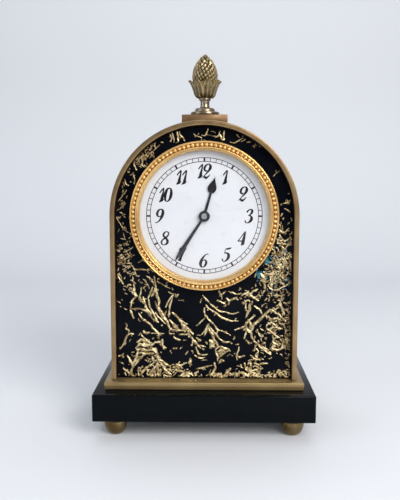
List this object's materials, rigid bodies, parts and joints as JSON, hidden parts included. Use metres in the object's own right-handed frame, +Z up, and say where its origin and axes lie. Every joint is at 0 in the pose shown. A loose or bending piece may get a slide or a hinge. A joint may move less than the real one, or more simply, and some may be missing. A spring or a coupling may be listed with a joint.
{
  "type": "mantel clock",
  "caption": "Arch mantel clock: black plinth on bun feet, brass arch band, resin front panel, beaded bezel, white dial, black hands, pine-cone finial, rear battery door.",
  "frame": {"origin": "on the ground, in the middle of the four feet", "axes": "+Z up, the dial faces -Y, +X to the right as seen from the front"},
  "size_m": [0.136, 0.09, 0.2379],
  "materials": {
    "black_stone": "polished",
    "case_brass": "satin, aged",
    "gilt": "polished gilt",
    "cast_brass": "cast, antiqued",
    "resin": "glossy clear-coated resin with brass shavings",
    "clear_glass": "clear",
    "dial_white": "satin enamel",
    "hand_black": "gloss black",
    "steel": "satin",
    "black_plastic": "matt",
    "white_plastic": "satin",
    "rubber": "matt",
    "green_board": "satin",
    "copper": "enamelled wire",
    "cell_jacket": "satin"
  },
  "bodies": {
    "case": {"plinth": "black_stone", "foot_front_left": "case_brass", "foot_front_right": "case_brass", "foot_rear_left": "case_brass", "foot_rear_right": "case_brass", "base_plate": "case_brass", "arch_band": "case_brass", "corner_block_left": "case_brass", "corner_block_right": "case_brass", "finial_block": "case_brass", "hinge_leaf_fixed": "case_brass", "panel_nut": "case_brass", "bezel": "gilt", "glass_ring": "gilt", "finial_foot": "cast_brass", "finial_calyx": "cast_brass", "finial_cone": "cast_brass", "front_panel": "resin", "glass": "clear_glass", "dial": "dial_white", "case_screw_left": "steel", "case_screw_right": "steel", "post_left": "steel", "post_right": "steel", "post_top": "steel", "post_screw_left": "steel", "post_screw_right": "steel", "post_screw_top": "steel", "finial_rod": "steel", "finial_nut": "steel", "bezel_screw_1": "steel", "bezel_screw_2": "steel", "bezel_screw_3": "steel", "hinge_pin": "steel", "stator": "steel", "coil_core": "steel", "contact_plate": "steel", "contact_spring": "steel", "quartz_crystal": "steel", "back_panel": "black_plastic", "movement_front_case": "black_plastic", "movement_rear_case": "black_plastic", "control_chip": "black_plastic", "panel_washer": "rubber", "circuit_board": "green_board", "coil_winding": "copper", "battery": "cell_jacket"},
    "minute": {"centre_arbor": "steel", "minute_hand": "hand_black"},
    "hour": {"hour_wheel": "white_plastic", "hour_hand": "hand_black"},
    "motion_wheel": {"minute_wheel": "white_plastic"},
    "setting": {"setting_knob": "white_plastic"},
    "third": {"third_wheel": "white_plastic"},
    "intermediate": {"intermediate_wheel": "white_plastic"},
    "rotor": {"rotor": "steel"},
    "door": {"rear_door": "black_plastic", "door_pull": "case_brass", "hinge_leaf_moving": "case_brass"}
  },
  "joints": [
    {"name": "minute_hand_turn", "type": "hinge", "parent": "case", "child": "minute", "pos_m": [0, 0, 0.1368], "axis": [0, 1, 0], "continuous": true},
    {"name": "hour_hand_turn", "type": "hinge", "parent": "case", "child": "hour", "pos_m": [0, 0, 0.1368], "axis": [0, 1, 0], "continuous": true},
    {"name": "minute_wheel_turn", "type": "hinge", "parent": "case", "child": "motion_wheel", "pos_m": [-0.00904, 0, 0.1368], "axis": [0, 1, 0], "continuous": true},
    {"name": "setting_knob_turn", "type": "hinge", "parent": "case", "child": "setting", "pos_m": [-0.01726, 0, 0.14155], "axis": [0, 1, 0], "continuous": true},
    {"name": "third_wheel_turn", "type": "hinge", "parent": "case", "child": "third", "pos_m": [0.00846, 0, 0.13988], "axis": [0, 1, 0], "continuous": true},
    {"name": "intermediate_wheel_turn", "type": "hinge", "parent": "case", "child": "intermediate", "pos_m": [0.0077, 0, 0.14853], "axis": [0, 1, 0], "continuous": true},
    {"name": "rotor_turn", "type": "hinge", "parent": "case", "child": "rotor", "pos_m": [-0.00061, 0, 0.14999], "axis": [0, 1, 0], "continuous": true},
    {"name": "rear_door_swing", "type": "hinge", "parent": "case", "child": "door", "pos_m": [0.04, 0.0266, 0.128], "axis": [0, 0, -1], "range_deg": [0, 110]}
  ],
  "couplings": [
    {"joint": "hour_hand_turn", "follows": "minute_hand_turn", "ratio": 0.083333},
    {"joint": "minute_wheel_turn", "follows": "minute_hand_turn", "ratio": -0.33333},
    {"joint": "setting_knob_turn", "follows": "minute_hand_turn", "ratio": 0.83333},
    {"joint": "third_wheel_turn", "follows": "minute_hand_turn", "ratio": -6},
    {"joint": "intermediate_wheel_turn", "follows": "minute_hand_turn", "ratio": 30},
    {"joint": "rotor_turn", "follows": "minute_hand_turn", "ratio": -180}
  ]
}
